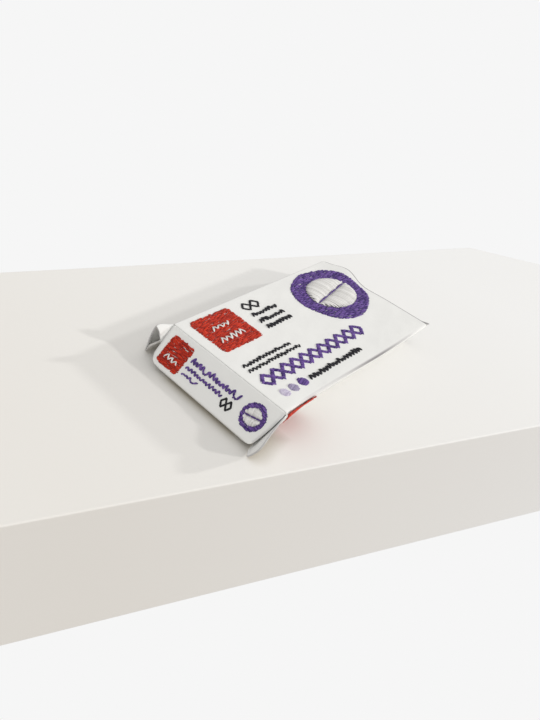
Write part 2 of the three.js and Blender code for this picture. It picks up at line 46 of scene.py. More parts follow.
HEIGHT = SIDE * math.cos(LEAN)
TOP_SHIFT = -HEIGHT * math.tan(LEAN)
HALF_L, HALF_W = LENGTH / 2, WIDTH / 2
HINGE_OUT, HINGE_GAP = 0.7, 0.3
HINGE_X, HINGE_Z = HALF_L + HINGE_OUT, HEIGHT - CLOTH / 2
SWING = math.radians(50)
NEAR_PANEL, NEAR_LIP = 17.2, 8.4
LIP_TURN, LIP_R = math.radians(130.2), 1.4
FOLD_R, FOLD_CUT = 1.1, 2.2

# Where the top's far edge swells outward, dips and lifts: place from the front, amount, reach
SWELL = (53, 3.6, 9)
DIP = (37, 0.8, 7)
LIFT = (52, 1.2, 8)
# How far from the near edge the swell and the lift begin
SWELL_FROM, LIFT_FROM = 74, 86
# How the front side swells by the open end: amount and how far along
MOUTH_SWELL, MOUTH_REACH = 1.6, 12
# How far the top's near edge is drawn toward the near panel
NEAR_EDGE_DRAW = 0.26

# Near dust flaps: side (-1 front, 1 back), length, and how far the lower edge rises
NEAR_DUST = ((-1, 17.6, 0.2), (1, 11.5, 0.4))
# Rows outward, columns across, and the extra columns of the soft flap's rolled top
DUST_ROWS, DUST_COLUMNS, ROLL_COLUMNS = 23, 13, 7
# The lowest that their outer face lies
DUST_FLOOR = 0.45
# The front one turns off sharply; the back one bends softly, from an angle that grows up its height
FIRM_TURN, FIRM_BEND = math.radians(20), 0.55
SOFT_BEGIN, SOFT_TURN, SOFT_STRAIGHT, SOFT_BEND = math.radians(30), math.radians(-50), 4.5, 6.5

# Far dust flaps: length, radius of the fold, and clearances to the bottom and the top
FAR_DUST, FAR_DUST_FOLD, FAR_DUST_EDGE, FAR_DUST_RISE = 16.5, 0.9, 1.5, 3.6
FAR_DUST_ROWS, FAR_DUST_COLUMNS = 10, 7

# Near panel: columns, radius of its right and left corner, how much the lip and its tip narrow
NEAR_COLUMNS = 45
NEAR_CORNERS = (2.6, 5.0)
LIP_NARROW, TIP_NARROW = 7.2, 2.5
BEAD_R = 0.4
# Far panel: rows of the flat part, columns, its lip's turn, and the insets of panel and lip
FAR_PANEL_ROWS, FAR_COLUMNS = 12, 41
FAR_LIP_TURN = math.radians(42)
FAR_INSET, FAR_LIP_INSET = 0.6, 0.94 + 3

rng = np.random.default_rng(7)


def smooth(a, b, x):
    """0 before a, 1 after b and an even curve between them."""
    t = np.clip((x - a) / (b - a), 0, 1)
    return t * t * (3 - 2 * t)


def hump(v, middle, reach):
    """1 at the middle, falling off to both sides."""
    return math.exp(-((v - middle) / reach) ** 2)


def sway(x):
    """How far the front top fold wanders from straight."""
    return 0.35 * math.sin(x * 0.075)


def ripple(x, y, seed=0.0):
    """Slow unevenness of stiffened cloth, in mm."""
    return (0.13 * math.sin(x * 0.16 + 1.3 + seed) * math.sin(y * 0.19 + 0.4 + seed * 2)
            + 0.06 * math.sin(x * 0.33 - y * 0.21 + seed * 3) * math.sin(y * 0.4 + x * 0.07)
            + 0.02 * math.sin(x * 0.7 + 2 * math.sin(y * 0.5) + seed))


# Surfaces that the cloth and the threads share


def bow(x, y):
    """How far the far edge of the top bulges outward."""
    wave = SWELL[1] * hump(y, SWELL[0], SWELL[2]) - DIP[1] * hump(y, DIP[0], DIP[2])
    return wave * float(smooth(SWELL_FROM, LENGTH, x))


def far_lift(x, y):
    """How far the cloth lifts where that edge bulges."""
    return LIFT[1] * hump(y, LIFT[0], LIFT[2]) * float(smooth(LIFT_FROM, LENGTH, x))


def top_at(x, y, h=0.0):
    """Top panel: x from the near edge, y from the front edge, h above the cloth, in mm."""
    fade = float(smooth(0, 6, x) * smooth(0, 6, LENGTH - x) * smooth(0, 5, y) * smooth(0, 5, WIDTH - y))
    front = sway(x) * (1 - float(smooth(0, 12, y)))
    out = bow(x, y) - NEAR_EDGE_DRAW * (1 - float(smooth(0, 1.5, x)))
    up = HEIGHT + ripple(x, y) * fade + far_lift(x, y) + h
    return np.array([x - HALF_L + out, y - HALF_W + TOP_SHIFT + front, up])


def stitched_at(x, y, h):
    """The top for thread work, which keeps its outline where the far edge bulges."""
    before = x - bow(x, y)
    return top_at(x - bow(before, y), y, h)


def near_ripple(a, b, drop):
    """The near panel's unevenness; a and b as in near_at, drop down from the hinge."""
    fade = float(smooth(0, 4, b) * smooth(0, 4, drop) * smooth(0, 4, a) * smooth(0, 4, WIDTH - a))
    return ripple(a, b, 2.0) * 0.7 * fade


def near_at(a, b, h):
    """Near panel: a from its left end, b up from the fold, h out of the outer face, in mm."""
    drop = NEAR_PANEL - b
    out = CLOTH / 2 + h + near_ripple(a, b, drop)
    x = -HINGE_X - drop * math.sin(SWING) - out * math.cos(SWING)
    z = HINGE_Z - drop * math.cos(SWING) + out * math.sin(SWING)
    return np.array([x, HALF_W + TOP_SHIFT - a, z])


def side_bulge(x, s):
    """How far the front side swells out by the open end, most of it near the top fold."""
    t = min(max(s / SIDE, 0), 1)
    mouth = MOUTH_SWELL * max(0.0, 1 - x / MOUTH_REACH) ** 1.3 * math.sin(math.pi * t ** 1.5)
    return mouth + 0.3 * math.sin(math.pi * t)


def side_at(x, s, h=0.0):
    """Front long side: x from the near end, s up from the bottom fold, h outward, in mm."""
    out = h + side_bulge(x, s)
    y = -HALF_W - s * math.sin(LEAN) - out * math.cos(LEAN)
    z = s * math.cos(LEAN) - out * math.sin(LEAN)
    return np.array([x - HALF_L, y, z])


# Materials


def nodes_of(name):
    """A new material with its node tree and shader."""
    mat = bpy.data.materials.new(name)
    mat.use_nodes = True
    tree = mat.node_tree
    return mat, tree, tree.nodes["Principled BSDF"]


def link(tree, a, out, b, socket):
    """Joins node a's output to node b's socket."""
    tree.links.new(a.outputs[out], b.inputs[socket])


def node(tree, kind, settings=None, **values):
    """A new node; values are its properties and settings its sockets' values."""
    made = tree.nodes.new(kind)
    for key, value in values.items():
        setattr(made, key, value)
    for socket, value in (settings or {}).items():
        made.inputs[socket].default_value = value
    return made


def set_shader(bsdf, settings):
    """Gives the shader's sockets their values."""
    for socket, value in settings.items():
        bsdf.inputs[socket].default_value = value


def mix_colours(tree, factor, a, b):
    """A colour mix; factor, a and b are (node, output) pairs or plain values."""
    mix = node(tree, "ShaderNodeMix", data_type="RGBA")
    for socket, value in ((0, factor), (6, a), (7, b)):
        if isinstance(value, tuple) and hasattr(value[0], "outputs"):
            tree.links.new(value[0].outputs[value[1]], mix.inputs[socket])
        else:
            mix.inputs[socket].default_value = value
    return mix


def cloth_material(name, colour, shade):
    """Woven cloth: slow patches of tone, crossing threads, creases, and painted shade as fine dark
    lines along folds and edges.
    """
    weave, edge_shade_colour = 0.42 * MM, (0.20, 0.19, 0.20, 1)
    mat, tree, bsdf = nodes_of(name)
    place = node(tree, "ShaderNodeTexCoord")
    patch = node(tree, "ShaderNodeTexNoise", {"Scale": 90, "Detail": 4})
    link(tree, place, "Object", patch, "Vector")
    tone = mix_colours(tree, (patch, "Fac"), (*shade, 1), (*colour, 1))
    # Painted shade: the line attribute darkens the cloth along folds and edges, standing for the shade
    # in the gaps there.
    line = node(tree, "ShaderNodeAttribute", attribute_name="line")
    edge = mix_colours(tree, (line, "Fac"), (tone, 2), edge_shade_colour)
    link(tree, edge, 2, bsdf, "Base Color")
    crossing = node(tree, "ShaderNodeMath", operation="ADD")
    for socket, direction in enumerate(("X", "Y")):
        wave = node(tree, "ShaderNodeTexWave", bands_direction=direction,
                    settings={"Scale": 2 * math.pi / weave / 20, "Distortion": 1.6, "Detail Scale": 3})
        link(tree, place, "Object", wave, "Vector")
        link(tree, wave, "Fac", crossing, socket)
    lift = node(tree, "ShaderNodeBump", {"Strength": 0.18, "Distance": 0.12 * MM})
    link(tree, crossing, "Value", lift, "Height")
    crease = node(tree, "ShaderNodeTexNoise", {"Scale": 160, "Detail": 3})
    link(tree, place, "Object", crease, "Vector")
    rumple = node(tree, "ShaderNodeBump", {"Strength": 0.35, "Distance": 0.5 * MM})
    link(tree, crease, "Fac", rumple, "Height")
    link(tree, lift, "Normal", rumple, "Normal")
    link(tree, rumple, "Normal", bsdf, "Normal")
    set_shader(bsdf, {"Roughness": 0.88, "Sheen Weight": 0.15})
    return mat


def thread_material(name, dark, light, rough=0.5):
    """Plied thread: a tone for each strand, and turns of ply along it, with painted shade darkening the
    grooves between the turns.
    """
    mat, tree, bsdf = nodes_of(name)
    tone = node(tree, "ShaderNodeAttribute", attribute_name="tone")
    uv = node(tree, "ShaderNodeUVMap")
    twist = node(tree, "ShaderNodeTexWave", bands_direction="DIAGONAL",
                 settings={"Scale": 0.5, "Distortion": 0.6})
    link(tree, uv, "UV", twist, "Vector")
    base = mix_colours(tree, (tone, "Fac"), (*dark, 1), (*light, 1))
    # Painted shade: the grooves between the turns of ply take a darker copy of the thread's colour.
    painted_shade = tuple(c * 0.62 for c in dark)
    groove = node(tree, "ShaderNodeMapRange", {"To Min": 0.22, "To Max": 0.0})
    link(tree, twist, "Fac", groove, "Value")
    both = mix_colours(tree, (groove, "Result"), (base, 2), (*painted_shade, 1))
    link(tree, both, 2, bsdf, "Base Color")
    lift = node(tree, "ShaderNodeBump", {"Strength": 0.6, "Distance": 0.08 * MM})
    link(tree, twist, "Fac", lift, "Height")
    link(tree, lift, "Normal", bsdf, "Normal")
    set_shader(bsdf, {"Roughness": rough, "Specular IOR Level": 0.25})
    return mat


def plain_material(name, colour, rough, bump, metal=0.0, scale=900, through=0.0):
    """One colour with a fine grain."""
    mat, tree, bsdf = nodes_of(name)
    place = node(tree, "ShaderNodeTexCoord")
    grain = node(tree, "ShaderNodeTexNoise", {"Scale": scale})
    link(tree, place, "Object", grain, "Vector")
    tone = mix_colours(tree, (grain, "Fac"), (*[c * 0.94 for c in colour], 1), (*colour, 1))
    link(tree, tone, 2, bsdf, "Base Color")
    lift = node(tree, "ShaderNodeBump", {"Strength": bump, "Distance": 0.1 * MM})
    link(tree, grain, "Fac", lift, "Height")
    link(tree, lift, "Normal", bsdf, "Normal")
    set_shader(bsdf, {"Roughness": rough, "Metallic": metal, "Transmission Weight": through})
    return mat


CLOTH_MAT = cloth_material("cloth", (0.84, 0.84, 0.82), (0.78, 0.78, 0.765))
RED = thread_material("red_thread", (0.30, 0.012, 0.004), (0.72, 0.045, 0.014))
PURPLE = thread_material("purple_thread", (0.038, 0.016, 0.13), (0.21, 0.115, 0.42))
BLACK = thread_material("black_thread", (0.006, 0.006, 0.009), (0.028, 0.027, 0.035), 0.6)
WHITE = thread_material("white_thread", (0.70, 0.69, 0.67), (0.88, 0.87, 0.85))
LILAC = thread_material("lilac_thread", (0.52, 0.46, 0.62), (0.72, 0.68, 0.80))
GREY_LILAC = thread_material("grey_lilac_thread", (0.26, 0.22, 0.36), (0.48, 0.43, 0.60))

# Cloth pieces


def mesh_object(name, verts, faces, mat, line=None):
    """A smooth-shaded object; line says how dark the painted shade along its folds and edges is at each
    point.
    """
    mesh = bpy.data.meshes.new(name)
    mesh.from_pydata([tuple(v * MM) for v in verts], [], faces)
    if line is not None:
        data = mesh.attributes.new("line", "FLOAT", "POINT")
        data.data.foreach_set("value", np.asarray(line, dtype=np.float32))
    mesh.materials.append(mat)
    obj = bpy.data.objects.new(name, mesh)
    bpy.context.collection.objects.link(obj)
    for p in mesh.polygons:
        p.use_smooth = True
    return obj


def thicken(obj, thickness):
    """Gives a sheet its thickness, inward from its outer face, and softens it once."""
    solid = obj.modifiers.new("thickness", "SOLIDIFY")
    solid.thickness = thickness * MM
    solid.offset = -1.0
    solid.use_rim = True
    soft = obj.modifiers.new("soft", "SUBSURF")
    soft.levels = 1
    soft.render_levels = 1
    bpy.context.view_layer.objects.active = obj
    for name in [m.name for m in obj.modifiers]:
        with bpy.context.temp_override(object=obj):
            bpy.ops.object.modifier_apply(modifier=name)


def weld(verts, faces, line):
    """Joins points of neighbouring panels that meet."""
    distance = 0.02
    keys, remap, out, lines = {}, [], [], []
    for v, l in zip(verts, line):
        k = tuple(np.round(v / distance).astype(int))
        if k not in keys:
            keys[k] = len(out)
            out.append(v)
            lines.append(l)
        remap.append(keys[k])
    made = []
    for f in faces:
        g = [remap[i] for i in f]
        if len(set(g)) == len(g):
            made.append(g)
    return out, made, lines


def grid(rows, line_rows, verts, faces, line, flip=False):
    """Adds a sheet given as rows of points to verts, faces and line."""
    base = len(verts)
    n, m = len(rows), len(rows[0])
    for r, l in zip(rows, line_rows):
        verts.extend(r)
        line.extend(l)
    for i in range(n - 1):
        for j in range(m - 1):
            a, b = base + i * m + j, base + i * m + j + 1
            c, d = base + (i + 1) * m + j + 1, base + (i + 1) * m + j
            faces.append([a, d, c, b] if flip else [a, b, c, d])


def unit(v):
    """The same direction at length 1."""
    return v / np.linalg.norm(v)


def fold_cut(d1, d2):
    """How far before a corner the rounded fold begins, between panels that run along d1 and d2."""
    return min(FOLD_R / math.tan(math.acos(np.clip(-d1 @ d2, -1, 1)) / 2), FOLD_CUT)


def section():
    """The leaning tube's outline: (y, z, panel, place on the panel) all the way round."""
    corners = [(-HALF_W + TOP_SHIFT, HEIGHT), (HALF_W + TOP_SHIFT, HEIGHT), (HALF_W, 0), (-HALF_W, 0)]
    panels = [("top", 44), ("back", 12), ("bottom", 26), ("front", 12)]
    points = []
    for k, (panel, steps) in enumerate(panels):
        prev, p, q, r = (np.array(corners[(k + i) % 4]) for i in (-1, 0, 1, 2))
        d0, d1, d2 = unit(p - prev), unit(q - p), unit(r - q)
        start, cut = fold_cut(d0, d1), fold_cut(d1, d2)
        total = np.linalg.norm(q - p)
        for i in range(steps + 1):
            s = start + (total - start - cut) * i / steps
            points.append((*(p + d1 * s), panel, s))
        for t in (0.25, 0.5, 0.75):
            a, b = q - d1 * cut, q + d2 * cut
            points.append((*((1 - t) ** 2 * a + 2 * t * (1 - t) * q + t * t * b), "fold", t))
    return points


def tube_point(x, p):
    """A point of the tube, x from the near end; p is one of the outline's points."""
    y, z, panel, s = p
    if panel == "top":
        return top_at(x, y - (-HALF_W + TOP_SHIFT))
    if panel == "fold":
        top = z > HEIGHT / 2
        front = y < -HALF_W + 5
        place = 0 if front else WIDTH
        aside = sway(x) if top and front else 0
        return np.array([x - HALF_L + (bow(x, place) if top else 0), y + aside, z])
    if panel == "front":
        return side_at(x, s) + np.array([0, sway(x) * s / SIDE, 0])
    if panel == "back":
        bulge = ripple(x, s, 5.0) * 0.6
        return np.array([x - HALF_L, y + bulge * math.cos(LEAN), z + bulge * math.sin(LEAN)])
    return np.array([x - HALF_L, y, z])


def dust_path(r, begin, end, straight, bend):
    """A dust flap's run: how far along and how far out of the wall's plane, in mm.

    It sets off at the angle begin, keeps it for the straight length and turns to end over the bend.
    """
    steps = 24
    along = out = 0.0
    for k in range(steps):
        q = r * (k + 0.5) / steps
        angle = begin + (end - begin) * min(max((q - straight) / bend, 0), 1)
        along += math.cos(angle) * r / steps
        out += math.sin(angle) * r / steps
    return along, out


def under_panel(x, y):
    """How high the back dust flap may stand: under the near panel, and freely beside it."""
    gap, beside = 1.25, 7
    panel = HINGE_Z - max(-HINGE_X - x, 0) / math.tan(SWING)
    edge = HALF_W + TOP_SHIFT - 0.8
    return panel - gap + beside * float(smooth(edge - 0.2, edge + 1.4, y))


def near_dust(side, length, rise):
    """Rows of a near dust flap, from the wall's near end outward.

    The front one is firm and nearly flat. The back one is soft and rolls in at its top.
    """
    rows, lines = [], []
    soft = side > 0
    top = DUST_COLUMNS - 1
    columns = DUST_COLUMNS + ROLL_COLUMNS if soft else DUST_COLUMNS
    for i in range(DUST_ROWS):
        t = i / (DUST_ROWS - 1)
        row, line = [], []
        for j in range(columns):
            u = min(j / top, 1)
            roll = max(j - top, 0) / ROLL_COLUMNS
            lo = FOLD_R * 1.2 + rise * t
            hi = SIDE - (0.6 if soft else FOLD_R * 1.2) - 0.8 * t
            s = lo + (hi - lo) * u + 0.4 * math.sin(math.pi * roll)
            if soft:
                square = 1 - 0.3 * float(smooth(0.3, 1, u)) - 0.12 * float(smooth(0.4, 0, u)) ** 2
                along, out = dust_path(length * t * square, SOFT_BEGIN * u, SOFT_TURN,
                                       SOFT_STRAIGHT, SOFT_BEND)
                out -= (3.4 + 2.4 * t) * roll * min(t * 5, 1)
            else:
                square = 1 - 0.16 * float(smooth(0.6, 1, abs(u - 0.5) * 2)) ** 2
                along, out = dust_path(length * t * square, 0, FIRM_TURN, 0, FIRM_BEND)
                out += 0.4 * math.sin(math.pi * u) * t * t + side_bulge(0, s) * (1 - t) ** 2.6
            x = -HALF_L - along
            y = HALF_W * side - s * math.sin(LEAN) + out * math.cos(LEAN) * side
            z = s * math.cos(LEAN) + out * math.sin(LEAN) * side
            if soft:
                z = min(z - 1.5 * t * roll ** 2, under_panel(x, y))
            row.append(np.array([x, y, max(z, DUST_FLOOR)]))
            # Painted shade along the flap's outer edge and its top: the line value darkens the cloth
            # there.
            line.append(0.55 if i == DUST_ROWS - 1 or (j == top and i > 1) else 0.0)
        rows.append(row)
        lines.append(line)
    return rows, lines


def painted_edge_shade(x, p, last):
    """How dark the painted shade line is that runs along the top folds and the far edge, standing for
    the shade in the gaps there.
    """
    y, z, panel, s = p
    if last:
        return 0.55 + 0.4 * hump(y - TOP_SHIFT + HALF_W, SWELL[0], 10)
    if panel != "fold" or z < HEIGHT / 2:
        return 0.0
    if y < TOP_SHIFT:
        held = float(smooth(4, 14, x) * smooth(0, 14, 92 - x))
        return held * (0.25 + 0.65 * hump(x, 56, 17)) if s > 0.4 else 0.0
    return 0.3 if abs(s - 0.5) < 0.01 else 0.0


def far_dust(side):
    """Rows of a far dust flap, folded in across the far end."""
    rows = []
    for i in range(FAR_DUST_ROWS):
        r = FAR_DUST * i / (FAR_DUST_ROWS - 1)
        a = min(r / FAR_DUST_FOLD, math.pi / 2)
        x = HALF_L - FAR_DUST_FOLD + FAR_DUST_FOLD * math.sin(a)
        inward = FAR_DUST_FOLD * (1 - math.cos(a)) + max(r - FAR_DUST_FOLD * math.pi / 2, 0)
        row = []
        for j in range(FAR_DUST_COLUMNS):
            z = FAR_DUST_EDGE + (HEIGHT - 2 * FAR_DUST_EDGE) * j / (FAR_DUST_COLUMNS - 1)
            z = min(max(z, FAR_DUST_RISE * min(r, 1)), HEIGHT - FAR_DUST_EDGE)
            row.append(np.array([x, (HALF_W - inward) * side - z * math.tan(LEAN), z]))
        rows.append(row)
    return rows, [[0.0] * FAR_DUST_COLUMNS for _ in rows]


def sleeve():
    """The leaning tube with its four dust flaps."""
    ring = section()
    # Closer rows near both ends, where the cloth bends
    end = 2
    xs = np.concatenate([np.linspace(0, end, 4)[:-1], np.linspace(end, LENGTH - end, 62)[:-1],
                         np.linspace(LENGTH - end, LENGTH, 4)])
    verts, faces, line = [], [], []
    rows, lines = [], []
    for x in xs:
        rows.append([tube_point(x, p) for p in ring + ring[:1]])
        lines.append([painted_edge_shade(x, p, x == xs[-1]) for p in ring + ring[:1]])
    grid(rows, lines, verts, faces, line, flip=True)
    for side, length, rise in NEAR_DUST:
        grid(*near_dust(side, length, rise), verts, faces, line, flip=side > 0)
    for side in (-1, 1):
        grid(*far_dust(side), verts, faces, line, flip=side < 0)
    verts, faces, line = weld(verts, faces, line)
    obj = mesh_object("sleeve_cloth", verts, faces, CLOTH_MAT, line)
    thicken(obj, CLOTH * 0.9)
    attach(obj, "carton")
    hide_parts("carton")
    return obj


def fix_normals(obj):
    """Turns every face outward."""
    bm = bmesh.new()
    bm.from_mesh(obj.data)
    bmesh.ops.recalc_face_normals(bm, faces=bm.faces)
    bm.to_mesh(obj.data)
    bm.free()


def near_flap():
    """The open closure panel with its tuck lip, from the hinge to the lip's tip."""
    fold = NEAR_PANEL - LIP_R
    path = [(0.0, -t) for t in np.linspace(0, fold, 22)]
    for a in np.linspace(0, LIP_TURN, 10)[1:]:
        path.append((LIP_R - LIP_R * math.cos(a), -fold - LIP_R * math.sin(a)))
    end = path[-1]
    heading = -math.pi / 2 + LIP_TURN
    for t in np.linspace(0, NEAR_LIP, 10)[1:]:
        path.append((end[0] + t * math.cos(heading), end[1] + t * math.sin(heading)))
    # Runs from the hinge: to the middle of the lip's bend, to the tip, and to each point
    turn_mid = fold + LIP_R * LIP_TURN / 2
    whole = fold + LIP_R * LIP_TURN + NEAR_LIP
    run = np.concatenate([[0], np.cumsum(np.linalg.norm(np.diff(np.array(path), axis=0), axis=1))])
    verts, faces, line, rows, lines = [], [], [], [], []
    top_left, top_right = HALF_W + TOP_SHIFT, -HALF_W + TOP_SHIFT
    for i, (px, pz) in enumerate(path):
        s = run[i]
        t = min(s / fold, 1)
        tuck = (LIP_NARROW * float(smooth(turn_mid, turn_mid + 2.4, s))
                + TIP_NARROW * float(smooth(whole - 2.2, whole, s)))
        cut = [r - math.sqrt(r * r - min(max(s - turn_mid + r, 0), r) ** 2) for r in NEAR_CORNERS]
        y0 = top_right + 0.5 + 2.9 * t ** 1.6 + cut[0] + tuck
        y1 = top_left - 0.5 - 1.3 * t - cut[1] - tuck * 0.7
        nx, nz = path_normal(path, i)
        row, ln = [], []
        for j in range(NEAR_COLUMNS):
            y = y0 + (y1 - y0) * (j / (NEAR_COLUMNS - 1))
            out = CLOTH / 2
            if s <= fold:
                out += near_ripple(HALF_W + TOP_SHIFT - y, NEAR_PANEL + pz, -pz)
            lx, lz = px + nx * out, pz + nz * out
            x = lx * math.cos(SWING) + lz * math.sin(SWING) - HINGE_X
            z = -lx * math.sin(SWING) + lz * math.cos(SWING) + HINGE_Z
            row.append(np.array([x, y, z]))
            # Painted shade: a dark line at the lip's bend and along the panel's sides.
            at_edge = j in (0, NEAR_COLUMNS - 1) and s < fold
            ln.append(0.35 if abs(s - turn_mid) < 0.2 else 0.3 if at_edge else 0.0)
        rows.append(row)
        lines.append(ln)
    # The rounded bead by which the panel meets the top's edge
    for a in (math.radians(100), math.radians(70), math.radians(38)):
        x, z = -HINGE_X + BEAD_R * math.cos(a), HINGE_Z + BEAD_R * math.sin(a)
        rows.insert(0, [np.array([x, p[1], z]) for p in rows[0]])
        lines.insert(0, [0.0] * NEAR_COLUMNS)
    grid(rows, lines, verts, faces, line)
    obj = mesh_object("near_flap_cloth", verts, faces, CLOTH_MAT, line)
    thicken(obj, CLOTH)
    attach(obj, "near_flap")
    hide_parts("near_end_flap")
    return obj


def path_normal(path, i):
    """The direction square to a path at its point i."""
    a, b = np.array(path[max(i - 1, 0)]), np.array(path[min(i + 1, len(path) - 1)])
    d = unit(b - a)
    return d[1], -d[0]


def far_flap():
    """The closed panel at the far end with its curved lip."""
    lip_r = HINGE_Z - CLOTH * 1.5 - HINGE_GAP
    path = [(0.0, -t) for t in np.linspace(0, lip_r - 0.8, FAR_PANEL_ROWS)]
    for a in np.linspace(0.06, FAR_LIP_TURN, 12):
        path.append((-lip_r * math.sin(a), -lip_r * math.cos(a)))
    verts, faces, line, rows, lines = [], [], [], [], []
    for i, (px, pz) in enumerate(path):
        nx, nz = path_normal(path, i)
        in_panel = i < FAR_PANEL_ROWS
        half = HALF_W - (FAR_INSET if in_panel else FAR_LIP_INSET)
        row, ln = [], []
        for j in range(FAR_COLUMNS):
            y = -half + 2 * half * (j / (FAR_COLUMNS - 1))
            puff = 0.5 * math.sin(math.pi * min(-pz / lip_r, 1)) * (0.6 + 0.4 * math.sin(y * 0.3))
            out = -CLOTH / 2 - (puff if in_panel else 0)
            x, z = px + nx * out + HINGE_X, pz + nz * out + HINGE_Z
            place = y + HALF_W
            # Near the hinge the panel follows the top's edge, and its front corner sticks out a little
            held = 1 - float(smooth(0, 0.9, -pz / lip_r)) if in_panel else 0.0
            ear = 2.2 * max(0.0, 1 - place / 4) * max(0.0, 1 - i / 5)
            edge = bow(LENGTH, place) * held + ear
            lift = far_lift(LENGTH, place) * held ** 3
            row.append(np.array([x + edge, y - z * math.tan(LEAN), z + lift]))
            # Painted shade: a dark line along the hinge row, where the panel meets the top's edge.
            ln.append(0.7 if i == 0 else 0.0)
        rows.append(row)
        lines.append(ln)
    grid(rows, lines, verts, faces, line, flip=True)
    obj = mesh_object("far_flap_cloth", verts, faces, CLOTH_MAT, line)
    thicken(obj, CLOTH)
    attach(obj, "far_flap")
    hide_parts("far_end_flap")
    return obj


# Thread work


class Threads:
    """Strands laid over a surface, gathered into one piece."""

    def __init__(self, name, surface, mat, slot):
        self.name, self.surface, self.mat, self.slot = name, surface, mat, slot
        self.verts, self.faces, self.tones, self.uvs = [], [], [], []

    def lay(self, start, end, width, height, base=None, tone=None, bend=0.0, sides=6, steps=5):
        """One strand from start to end on the plan; its ends are thin and go down into the cloth."""
        start, end = np.array(start, float), np.array(end, float)
        along = end - start
        length = np.linalg.norm(along)
        if length < 0.05:
            return
        across = np.array([-along[1], along[0]]) / length
        tone = rng.uniform(0, 1) if tone is None else tone
        first = len(self.verts)
        for i in range(steps + 1):
            t = i / steps
            from_end = min(t, 1 - t)
            mid = start + along * t + across * bend * math.sin(math.pi * t)
            swell = min(1.0, 0.42 + 2.6 * from_end)
            ground = base(*mid) if base else 0.0
            lift = ground + height * (min(1.0, 3.2 * from_end) - 0.35)
            for k in range(sides):
                a = 2 * math.pi * k / sides
                p = mid + across * math.cos(a) * width / 2 * swell
                h = lift + math.sin(a) * height * 0.5 * swell
                self.verts.append(self.surface(p[0], p[1], h))
                self.tones.append(tone)
                self.uvs.append((k / sides * 2, t * length * 1.2))
        for i in range(steps):
            for k in range(sides):
                a, b = first + i * sides + k, first + i * sides + (k + 1) % sides
                self.faces.append((a, b, b + sides, a + sides))
        self.faces.append(tuple(first + k for k in range(sides))[::-1])
        last = first + steps * sides
        self.faces.append(tuple(last + k for k in range(sides)))

    def build(self, body, *replaced):
        """Makes the piece, rides it on its body and hides the solids that it stands for."""
        mesh = bpy.data.meshes.new(self.name)
        mesh.from_pydata([tuple(v * MM) for v in self.verts], [], self.faces)
        tone = mesh.attributes.new("tone", "FLOAT", "POINT")
        tone.data.foreach_set("value", np.asarray(self.tones, dtype=np.float32))
        layer = mesh.uv_layers.new(name="strand")
        for loop in mesh.loops:
            layer.data[loop.index].uv = self.uvs[loop.vertex_index]
        mesh.materials.append(self.mat)
        for p in mesh.polygons:
            p.use_smooth = True
        obj = bpy.data.objects.new(self.name, mesh)
        bpy.context.collection.objects.link(obj)
        fix_normals(obj)
        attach(obj, body)
        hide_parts(*replaced)
        return obj


def inside_rect(x0, x1, y0, y1, r):
    """A test for being inside a rectangle with corners of radius r."""
    def test(x, y):
        dx = max(x0 + r - x, x - x1 + r, 0)
        dy = max(y0 + r - y, y - y1 + r, 0)
        return dx * dx + dy * dy <= r * r
    return test


def inside_loop(points):
    """A test for being inside a closed line."""
    pts = np.array(points, float)

    def test(x, y):
        a, b = pts, np.roll(pts, -1, axis=0)
        cross = (a[:, 1] > y) != (b[:, 1] > y)
        xs = (b[:, 0] - a[:, 0]) * (y - a[:, 1]) / (b[:, 1] - a[:, 1] + 1e-12) + a[:, 0]
        return bool(np.sum(cross & (x < xs)) % 2)
    return test


def smooth_loop(points):
    """A closed curve through the points."""
    steps = 8
    pts = [np.array(p, float) for p in points]
    out = []
    n = len(pts)
    for i in range(n):
        p0, p1, p2, p3 = pts[i - 1], pts[i], pts[(i + 1) % n], pts[(i + 2) % n]
        for k in range(steps):
            t = k / steps
            out.append(0.5 * (2 * p1 + (p2 - p0) * t + (2 * p0 - 5 * p1 + 4 * p2 - p3) * t * t
                              + (3 * p1 - p0 - 3 * p2 + p3) * t ** 3))
    return out


def fill(threads, test, box, slant, pitch, reach, width, height):
    """Long and short stitch in two layers: rows of strands, clipped to an outline."""
    x0, x1, y0, y1 = box
    direction = np.array([math.cos(slant), math.sin(slant)])
    across = np.array([-direction[1], direction[0]])
    centre = np.array([(x0 + x1) / 2, (y0 + y1) / 2])
    half = math.hypot(x1 - x0, y1 - y0) / 2 + 1
    for under in (True, False):
        gap = pitch * (0.8 if under else 1.0)
        for d in np.arange(-half, half, gap):
            offset = d + rng.uniform(-0.1, 0.1) * pitch
            t = -half - rng.uniform(0, reach)
            while t < half:
                length = reach * rng.uniform(0.65, 1.25)
                a, b = t, t + length
                tilt = rng.normal(0, 0.035)
                samples = np.linspace(a, b, 15)
                keep = [s for s in samples
                        if test(*(centre + direction * s + across * (offset + tilt * (s - a))))]
                # The upper layer misses a strand now and then, so that the under layer shows
                if len(keep) > 2 and (under or rng.uniform() > 0.07):
                    p = centre + direction * keep[0] + across * (offset + tilt * (keep[0] - a))
                    q = centre + direction * keep[-1] + across * (offset + tilt * (keep[-1] - a))
                    p, q = p - direction * rng.uniform(0, 0.4), q + direction * rng.uniform(0, 0.4)
                    # Painted shade: the under layer takes the darkest tones, standing for the shade
                    # beneath the upper strands.
                    tone = rng.uniform(0, 0.2) if under else rng.uniform(0.3, 1)
                    threads.lay(p, q, width * rng.uniform(0.85, 1.15), height * (0.6 if under else 1),
                                tone=tone, bend=rng.normal(0, 0.1))
                t += length * (0.9 if under else 1.0)


